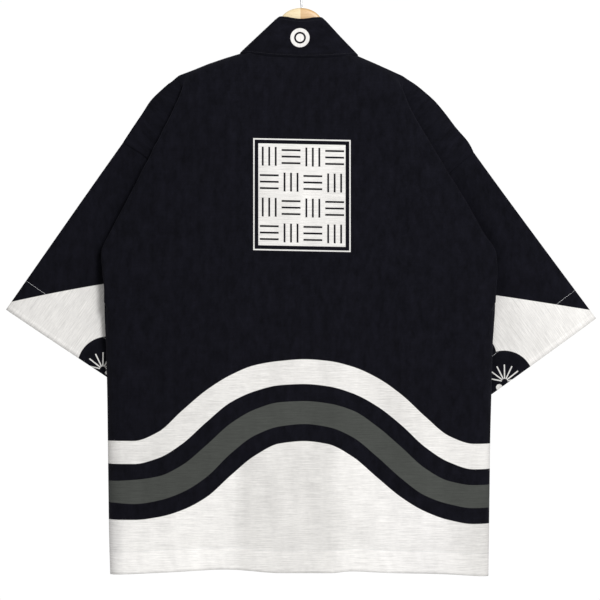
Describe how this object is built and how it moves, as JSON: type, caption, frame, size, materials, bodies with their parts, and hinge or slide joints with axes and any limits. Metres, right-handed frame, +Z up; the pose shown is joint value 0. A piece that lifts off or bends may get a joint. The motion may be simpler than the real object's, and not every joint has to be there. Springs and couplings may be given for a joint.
{
  "type": "happi coat on a wooden hanger",
  "caption": "Short straight cotton happi coat with wide sleeves and a collar band, hanging on a wooden hanger with a wire hook.",
  "frame": {"origin": "inside top of the hanger's hook, where it rests on a rail", "axes": "+Z up, +X across the coat to the right as seen from its back, +Y from the back of the coat to its front"},
  "size_m": [1.0026, 0.0653, 1.0488],
  "materials": {
    "navy_cotton": "woven",
    "navy_front_left": "woven",
    "navy_front_right": "woven",
    "sleeve_left_cotton": "woven",
    "sleeve_right_cotton": "woven",
    "collar_cotton": "woven",
    "beech": "satin",
    "steel": "satin"
  },
  "bodies": {
    "root": {"back": "navy_cotton", "front_left": "navy_front_left", "front_right": "navy_front_right", "sleeve_left": "sleeve_left_cotton", "sleeve_right": "sleeve_right_cotton", "collar": "collar_cotton", "hanger": "beech", "hook": "steel"}
  },
  "joints": []
}
